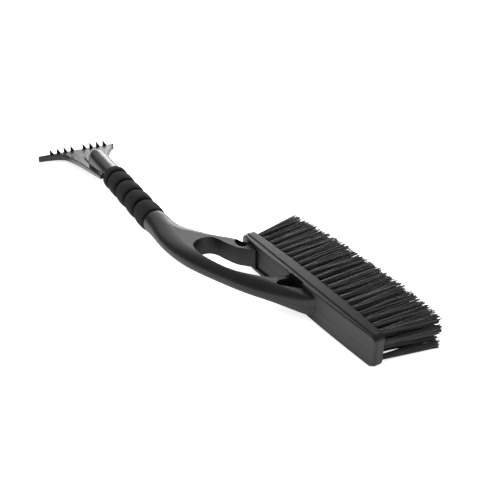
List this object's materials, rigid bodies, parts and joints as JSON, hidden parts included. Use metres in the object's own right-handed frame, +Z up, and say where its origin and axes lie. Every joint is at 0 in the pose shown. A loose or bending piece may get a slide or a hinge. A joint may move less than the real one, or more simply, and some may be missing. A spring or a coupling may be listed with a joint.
{
  "type": "snow brush with ice scraper",
  "caption": "Long handled snow brush with a bowed hand loop, a foam grip and a toothed ice scraper blade at the other end.",
  "frame": {"origin": "on the ground under the middle of the bounding box, the tool lying on its side", "axes": "+X along the brush towards its free end, the scraper at -X; +Y along the bristles; +Z up"},
  "size_m": [0.5898, 0.163, 0.0423],
  "materials": {
    "handle_plastic": "satin black moulded polypropylene",
    "plate_plastic": "satin black moulded polypropylene",
    "scraper_plastic": "semi-gloss black moulded plastic",
    "grip_foam": "matt black foam",
    "tube_alloy": "mill finish drawn tube",
    "bristle": "black crimped filament",
    "anchor_wire": "flat drawn wire"
  },
  "bodies": {
    "root": {"handle_moulding": "handle_plastic", "brush_plate": "plate_plastic", "core_tube": "tube_alloy", "foam_grip": "grip_foam", "scraper_head": "scraper_plastic", "bristle_row_1": "bristle", "tuft_anchors_1": "anchor_wire", "bristle_row_2": "bristle", "tuft_anchors_2": "anchor_wire", "bristle_row_3": "bristle", "tuft_anchors_3": "anchor_wire", "bristle_row_4": "bristle", "tuft_anchors_4": "anchor_wire"}
  },
  "joints": []
}
